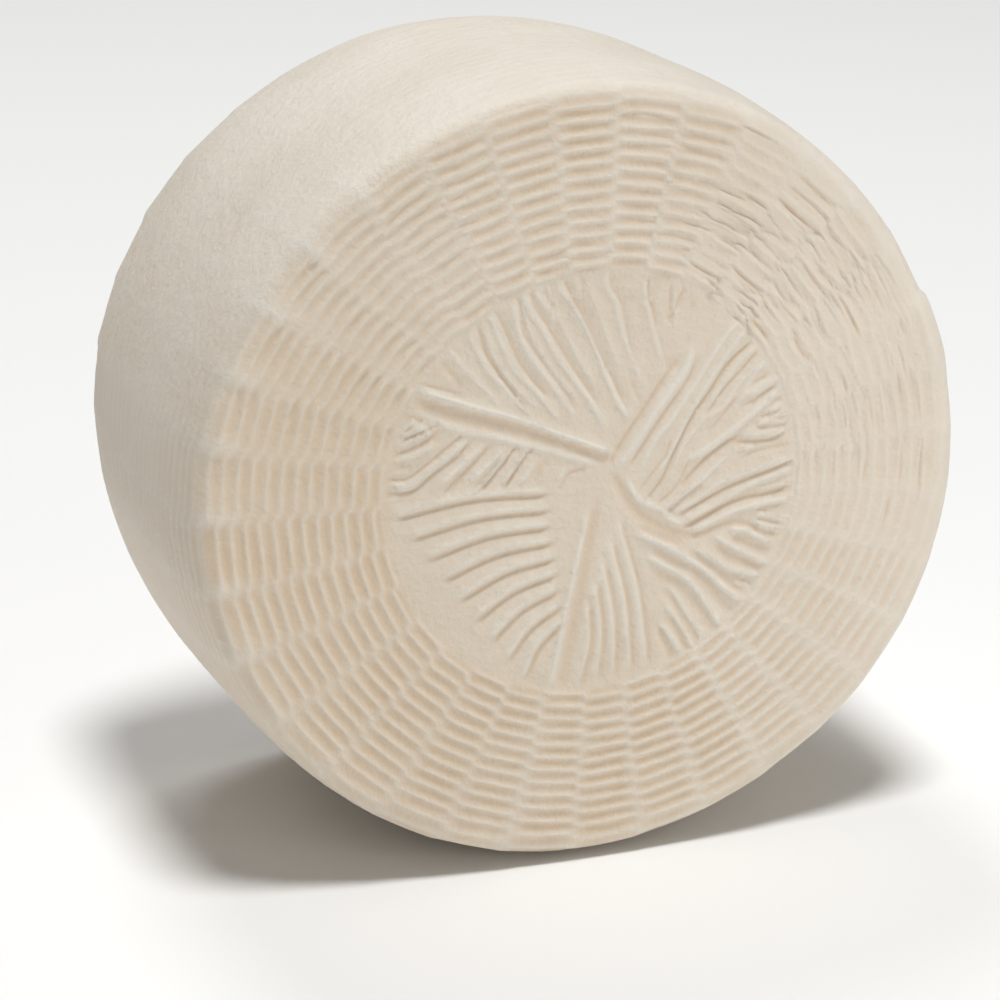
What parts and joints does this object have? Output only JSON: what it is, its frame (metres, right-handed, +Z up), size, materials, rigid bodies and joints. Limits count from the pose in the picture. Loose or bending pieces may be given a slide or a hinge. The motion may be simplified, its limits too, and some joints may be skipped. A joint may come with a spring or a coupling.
{
  "type": "primo sale cheese",
  "caption": "Whole wheel of fresh white cheese with basket-woven faces and a plain side, standing on its rim.",
  "frame": {"origin": "bottom centre of the bounding box, on the small flat that the rim rests on", "axes": "+Z up, the wheel's axle along Y, the front face towards -Y, +X to the right seen from the front"},
  "size_m": [0.2328, 0.1272, 0.2291],
  "materials": {
    "cheese": "satin"
  },
  "bodies": {
    "root": {"cheese_wheel": "cheese"}
  },
  "joints": []
}
